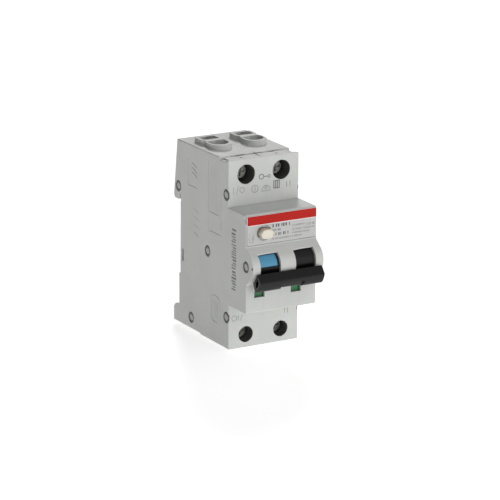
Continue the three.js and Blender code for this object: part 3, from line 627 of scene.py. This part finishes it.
def add_label_print():
    """Red band with a pale border, a thin dark rule, a plain symbol and bars in place of words."""
    face = front_plane(LABEL_LOW.y)
    left, right = LABEL_LOW.x, LABEL_HIGH.x
    band_low = LABEL_HIGH.z - 4.05 * MM
    top = LABEL_HIGH.z - 0.1 * MM
    bm = bmesh.new()
    block(bm, face, (left + 0.02 * MM, right), (band_low - 0.3 * MM, LABEL_HIGH.z), INK)
    add_piece("label_band_border", bm, "white_ink")
    bm = bmesh.new()
    block(bm, face, (left + 0.25 * MM, right), (band_low, top), 2 * INK)
    add_piece("label_red_band", bm, "red_ink")
    bm = bmesh.new()
    block(bm, face, (left, right), (LABEL_LOW.z, LABEL_LOW.z + 0.22 * MM), INK)
    block(bm, face, (left, left + 0.2 * MM), (LABEL_LOW.z, band_low - 0.4 * MM), INK)
    add_piece("label_rule", bm, "grey_ink")
    add_label_symbol(face)
    add_label_bars(face)


def add_label_symbol(face):
    """An open switch beside a coil, drawn in plain lines."""
    bm = bmesh.new()
    width = 0.17 * MM
    x, z = -15.6, 9.2
    lines = (
        [(x, z), (x, z + 1.4)],
        [(x, z + 1.4), (x - 0.7, z + 2.6)],
        [(x, z + 2.9), (x, z + 4.2)],
        [(x + 1.6, z), (x + 1.6, z + 4.2)],
        [(x, z + 0.5), (x + 1.6, z + 0.5)],
    )
    for line in lines:
        stroke(bm, face, scaled(line), width, INK)
    box = [(x + 1.1, z + 1.5), (x + 2.1, z + 1.5), (x + 2.1, z + 2.7), (x + 1.1, z + 2.7)]
    stroke(bm, face, scaled(box), width, INK, closed=True)
    add_piece("label_symbol", bm, "grey_ink")


def add_label_bars(face):
    """Rows of short bars, as words too small to read."""
    chance = random.Random(11)
    rows = (
        (-4.4, 4.4, 15.0, 1.35, "dark_ink"),
        (-4.4, -0.6, 13.2, 1.0, "grey_ink"),
        (5.4, 12.2, 14.3, 0.7, "pale_ink"),
        (12.6, 16.6, 13.9, 0.95, "grey_ink"),
        (-4.4, 3.8, 11.2, 1.3, "dark_ink"),
        (5.4, 16.2, 12.5, 0.7, "pale_ink"),
        (5.4, 14.0, 11.0, 0.7, "pale_ink"),
        (-4.4, 9.6, 9.5, 0.75, "pale_ink"),
    )
    meshes = {}
    for start, end, z, tall, look in rows:
        bm = meshes.setdefault(look, bmesh.new())
        x = start
        while x < end:
            wide = chance.choice((0.3, 0.45, 0.6)) * tall
            block(bm, face, (x * MM, (x + wide) * MM), (z * MM, (z + tall) * MM), INK)
            x += wide + chance.choice((0.22, 0.3, 0.75)) * tall
    for look, bm in meshes.items():
        add_piece("label_bars_" + look, bm, look)


def add_shoulder_marks():
    """Plain printed signs by the terminals: bars, rings and an arch."""
    face = front_plane(SHOULDER_Y)
    width = 0.34 * MM
    pale, dark = bmesh.new(), bmesh.new()
    rows = (
        [(-15.0, 27.4), (-15.0, 30.4)],
        [(-13.6, 27.2), (-12.6, 30.8)],
        [(-4.4, 27.6), (-4.4, 29.6)],
        arc((1.1, 27.5), 2.0, 0, 180),
        [(-1.2, 27.1), (3.4, 27.1)],
        [(11.4, 27.7), (11.4, 30.2)],
        [(13.1, 27.7), (13.1, 30.2)],
        [(-12.6, -29.8), (-12.6, -27.4)],
        [(-11.5, -30.0), (-10.5, -27.2)],
        [(10.8, -29.7), (10.8, -27.5)],
        [(12.3, -29.7), (12.3, -27.5)],
    )
    for row in rows:
        stroke(pale, face, scaled(row), width, INK)
    rings = (((-10.8, 28.9), 1.1), ((-4.4, 28.6), 1.6), ((1.1, 28.5), 0.6), ((-14.6, -28.6), 1.2))
    for centre, radius in rings:
        stroke(pale, face, ring(centre, radius), width, INK, closed=True)
    for centre, radius in (((-1.2, 33.6), 1.1), ((2.6, 33.5), 0.6)):
        stroke(dark, face, ring(centre, radius), width, INK, closed=True)
    stroke(dark, face, scaled([(0.1, 33.55), (1.8, 33.55)]), width, INK)
    for x in (5.0, 5.9, 6.8, 7.7):
        stroke(dark, face, scaled([(x, 27.7), (x, 31.0)]), 0.5 * MM, INK)
    for z in (27.7, 31.0):
        stroke(dark, face, scaled([(4.8, z), (7.9, z)]), 0.4 * MM, INK)
    add_piece("shoulder_marks", pale, "pale_ink")
    add_piece("shoulder_dark_marks", dark, "strip_ink")


# ---- Rivets ----
RIM = 2.42 * MM  # radius of a rivet's rolled rim
LIP = 1.62 * MM  # radius where the rim rolls inwards
BORE = 1.0 * MM
RIVET_PROFILE = (  # depth below the end in millimetres, and radius
    (0.55, 1.45 * MM),
    (0.45, RIM - 0.1 * MM),
    (0.3, RIM),
    (0.1, RIM - 0.12 * MM),
    (0.0, RIM - 0.38 * MM),
    (0.08, LIP + 0.12 * MM),
    (0.3, LIP),
    (0.5, BORE),
)
PLUG_PROFILE = ((0.14, 0.02), (0.12, 0.5), (0.06, 1.1), (0.12, 1.5), (0.4, 1.56), (0.7, 0.02))


def turned(bm, centre, profile, steps=36):
    """Turns a closed profile of (x, radius) points about a line along X through a centre."""
    rings = []
    for i in range(steps):
        angle = 2 * math.pi * i / steps
        out = Vector((0, math.cos(angle), math.sin(angle)))
        rings.append([bm.verts.new(Vector((x, centre.y, centre.z)) + out * r) for x, r in profile])
    count = len(profile)
    for i in range(steps):
        first, second = rings[i], rings[(i + 1) % steps]
        for j in range(count):
            k = (j + 1) % count
            bm.faces.new((first[j], first[k], second[k], second[j]))


def trim_at_shoulder(bm):
    """Cuts away what would stand in front of the shoulder."""
    cut = {"plane_co": (0, SHOULDER_Y + 0.1 * MM, 0), "plane_no": (0, -1, 0), "clear_outer": True}
    made = bmesh.ops.bisect_plane(bm, geom=bm.verts[:] + bm.edges[:] + bm.faces[:], **cut)
    rim = [e for e in made["geom_cut"] if isinstance(e, bmesh.types.BMEdge)]
    bmesh.ops.holes_fill(bm, edges=rim)


def add_rivet(name):
    """A hollow rivet: a tube through the housing, rolled into a rim at each side, and its two plugs."""
    low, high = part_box(name)
    centre = (low + high) / 2
    half = (high.x - low.x) / 2
    right = [(half - depth * MM, r) for depth, r in RIVET_PROFILE]
    left = [(-x, r) for x, r in reversed(right)]
    tube, plugs = bmesh.new(), bmesh.new()
    turned(tube, centre, right + left)
    for side in (-1, 1):
        turned(plugs, centre, [(side * (half - depth * MM), r * MM) for depth, r in PLUG_PROFILE])
    if centre.y - RIM < SHOULDER_Y < centre.y:
        trim_at_shoulder(tube)
    piece = add_piece(name + "_rolled", tube, "rivet_steel")
    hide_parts(name)
    add_piece(name + "_plugs", plugs, "rivet_plug")


# ---- Every other CAD node ----
FINISHES = {
    "left_drum": ("black_plastic", 0.06 * MM),
    "right_drum": ("black_plastic", 0.1 * MM),
    "blue_drum_inlay": ("blue_plastic", 0.12 * MM),
    "handle_bar": ("black_plastic", 0.15 * MM),
    "test_contact_leaf": ("bimetal", 0.08 * MM),
    "left_position_flag": ("flag_plastic", 0.1 * MM),
    "right_position_flag": ("flag_plastic", 0.1 * MM),
    "left_rail_clip": ("rail_clip_plastic", 0.2 * MM),
    "right_rail_clip": ("rail_clip_plastic", 0.2 * MM),
    "magnet_coil": ("copper", 0.1 * MM),
    "magnet_yoke": ("magnet_steel", 0.12 * MM),
    "magnet_plunger": ("magnet_steel", 0.15 * MM),
    "arc_chute": ("magnet_steel", 0.0),
    "bimetal_strip": ("bimetal", 0.1 * MM),
    "trip_shaft": ("brown_plastic", 0.05 * MM),
    "toroid": ("brown_plastic", 0.1 * MM),
    "circuit_board": ("circuit_board", 0.1 * MM),
    "trip_relay": ("black_plastic", 0.3 * MM),
    "relay_plunger": ("terminal_steel", 0.1 * MM),
    "neutral_wire": ("wire_insulation", 0.0),
    "phase_wire": ("wire_insulation", 0.0),
    "toggle_spring": ("spring_steel", 0.0),
    "phase_contact_spring": ("spring_steel", 0.0),
}
for pole in ("phase", "neutral"):
    FINISHES[pole + "_drive_link"] = ("terminal_steel", 0.06 * MM)
    FINISHES[pole + "_moving_contact"] = ("copper", 0.04 * MM)
    FINISHES[pole + "_fixed_contact"] = ("copper", 0.1 * MM)
    FINISHES[pole + "_contact_pin"] = ("terminal_steel", 0.1 * MM)
    FINISHES[pole + "_braid"] = ("copper", 0.0)
    for end in ("upper", "lower"):
        prefix = end + "_" + pole + "_terminal_"
        FINISHES[prefix + "cage"] = ("terminal_steel", 0.25 * MM)
        FINISHES[prefix + "screw"] = ("screw_steel", 0.12 * MM)
        FINISHES[prefix + "plate"] = ("copper", 0.12 * MM)


# ---- Pieces with a shape of their own ----
def stadium(half_x, half_z, steps=10):
    """Points round a flat-sided oval about the origin, in the X-Z plane."""
    straight = half_x - half_z
    right = arc((straight, 0), half_z, -90, 90, steps)
    left = arc((-straight, 0), half_z, 90, 270, steps)
    return right + left


def loft(bm, sections):
    """Joins equal rings of points into a closed skin."""
    rings = [[bm.verts.new(point) for point in section] for section in sections]
    count = len(rings[0])
    for first, second in zip(rings, rings[1:]):
        for i in range(count):
            j = (i + 1) % count
            bm.faces.new((first[i], first[j], second[j], second[i]))
    bm.faces.new(rings[0])
    bm.faces.new(rings[-1])


def add_test_button():
    """The oval key with a soft edge and a shallow dish, on its round stem."""
    low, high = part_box("test_button")
    x, z = (low.x + high.x) / 2, (low.z + high.z) / 2
    half_x, half_z = (high.x - low.x) / 2, (high.z - low.z) / 2
    key_end = low.y + 6.6 * MM
    dish = ((0.22, 1.3), (0.16, 0.9), (0.02, 0.62), (0.0, 0.45), (0.06, 0.22), (0.22, 0.06), (0.45, 0.0))
    steps = [(low.y + depth * MM, inset * MM) for depth, inset in dish]
    steps.append((key_end, 0.0))
    sections = []
    for y, inset in steps:
        oval = stadium(half_x - inset, half_z - inset)
        sections.append([Vector((x + a, y, z + b)) for a, b in oval])
    bm = bmesh.new()
    loft(bm, sections)
    stem = [(a * MM, b * MM) for a, b in arc((0, 0), 1.0, 0, 345, 23)]
    stem_ends = (key_end - 0.3 * MM, high.y)
    loft(bm, [[Vector((x + a, y, z + b)) for a, b in stem] for y in stem_ends])
    piece = add_piece("test_button_key", bm, "button_plastic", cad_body("test_button"))
    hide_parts("test_button")


def add_spring(node):
    """A smooth-shaded copy of a spring's CAD node, in a mesh of its own, riding on the housing."""
    piece = add_piece(node + "_coil", merged(node, math.radians(0.1)), "spring_steel")
    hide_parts(node)
    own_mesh(piece)


def add_flag_upper_halves():
    """The red half of each flag, which comes into the window when the toggle is on."""
    for side in ("left", "right"):
        node = side + "_position_flag"
        low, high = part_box(node)
        front = min(v.co.y for v in frame["nodes"][node].data.vertices)
        plane = front_plane(front)
        bm = bmesh.new()
        block(bm, plane, (low.x + 0.15 * MM, high.x - 0.15 * MM), (FLAG_SPLIT_Z, FLAG_TOP_Z), INK)
        add_piece(side + "_flag_red_half", bm, "red_plastic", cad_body(node))


def finish_label():
    """Gives the label's plate its film; it is too thin to round."""
    plate = frame["nodes"]["label_plate"]
    plate.data.materials.clear()
    plate.data.materials.append(LOOKS["printed_label"])


# ---- Stage ----
def add_floor():
    """A pale light table, lit from below."""
    bm = bmesh.new()
    bmesh.ops.create_circle(bm, cap_ends=True, radius=4.0, segments=96)
    mesh = bpy.data.meshes.new("floor")
    bm.to_mesh(mesh)
    bm.free()
    floor = bpy.data.objects.new("floor", mesh)
    bpy.context.scene.collection.objects.link(floor)
    floor.location = (0, 0, CAD_BOX[0][2] - 0.05 * MM)
    g = Graph("pale_floor")
    cloud = g.span(g.noise(0.3, 2), 0.3, 0.7)
    body = g.mix(cloud, (0.9, 0.9, 0.9, 1), (0.92, 0.92, 0.92, 1))
    glow = {"Emission_Color": (1, 1, 1, 1), "Emission_Strength": 0.54}
    mesh.materials.append(g.finish(Base_Color=body, Roughness=0.7, **glow))


def add_sky():
    """Soft studio light: a large panel in front, one to the right and a weaker one overhead."""
    sky = Sky("studio")
    panels = (((0, -1, 0.12), 8, 2.7), ((1, -0.3, 0.15), 3, 1.0), ((0, 0, 1), 2, 0.5))
    strength = 0.0
    for direction, focus, brightness in panels:
        facing = sky.maths("MAXIMUM", sky.towards(direction), 0.0)
        panel = sky.maths("MULTIPLY", sky.maths("POWER", facing, focus), brightness)
        strength = sky.maths("ADD", panel, strength)
    sky.set_surface(Color=(1, 1, 1, 1), Strength=strength)
    bpy.context.scene.world = sky.world


def add_key():
    """A soft key light from behind and to the right."""
    data = bpy.data.lights.new("key", "SUN")
    data.energy = 0.72
    data.angle = math.radians(14)
    lamp = bpy.data.objects.new("key", data)
    bpy.context.scene.collection.objects.link(lamp)
    azimuth, elevation = math.radians(150), math.radians(32)
    flat = math.cos(elevation)
    source = Vector((math.sin(azimuth) * flat, -math.cos(azimuth) * flat, math.sin(elevation)))
    lamp.rotation_euler = source.to_track_quat("Z", "Y").to_euler()


def add_camera():
    """The camera of a product shot: from the left of the front and a little above."""
    azimuth, elevation, roll = (math.radians(a) for a in (-29.602, 15.901, 0.198))
    distance, shift_x, shift_z = 1.3137, 15.811 * MM, -10.094 * MM
    back = Vector(
        (
            math.sin(azimuth) * math.cos(elevation),
            -math.cos(azimuth) * math.cos(elevation),
            math.sin(elevation),
        )
    )
    right = Vector((0, 0, 1)).cross(back).normalized()
    up = back.cross(right)
    turned_right = right * math.cos(roll) + up * math.sin(roll)
    turned_up = up * math.cos(roll) - right * math.sin(roll)
    place = turned_right * shift_x + turned_up * shift_z + back * distance
    data = bpy.data.cameras.new("camera")
    data.lens = 211.02
    data.clip_end = 20
    camera = bpy.data.objects.new("camera", data)
    bpy.context.scene.collection.objects.link(camera)
    turn = Matrix((turned_right, turned_up, back)).transposed().to_4x4()
    camera.matrix_world = Matrix.Translation(place) @ turn
    bpy.context.scene.camera = camera


finish_shells()
for node, (look, width) in FINISHES.items():
    finish_node(node, look, width)
for node in RIVETS:
    add_rivet(node)
finish_label()
add_test_button()
add_flag_upper_halves()
add_spring("plunger_spring")
add_spring("left_clip_spring")
add_spring("right_clip_spring")
add_side_moulding("left_side_moulding", LEFT_SIDE_X, -1)
add_side_moulding("right_side_moulding", RIGHT_SIDE_X, 1)
add_date_strip()
add_label_print()
add_shoulder_marks()
add_floor()
add_sky()
add_key()
add_camera()
bpy.context.scene.view_settings.view_transform = "Standard"
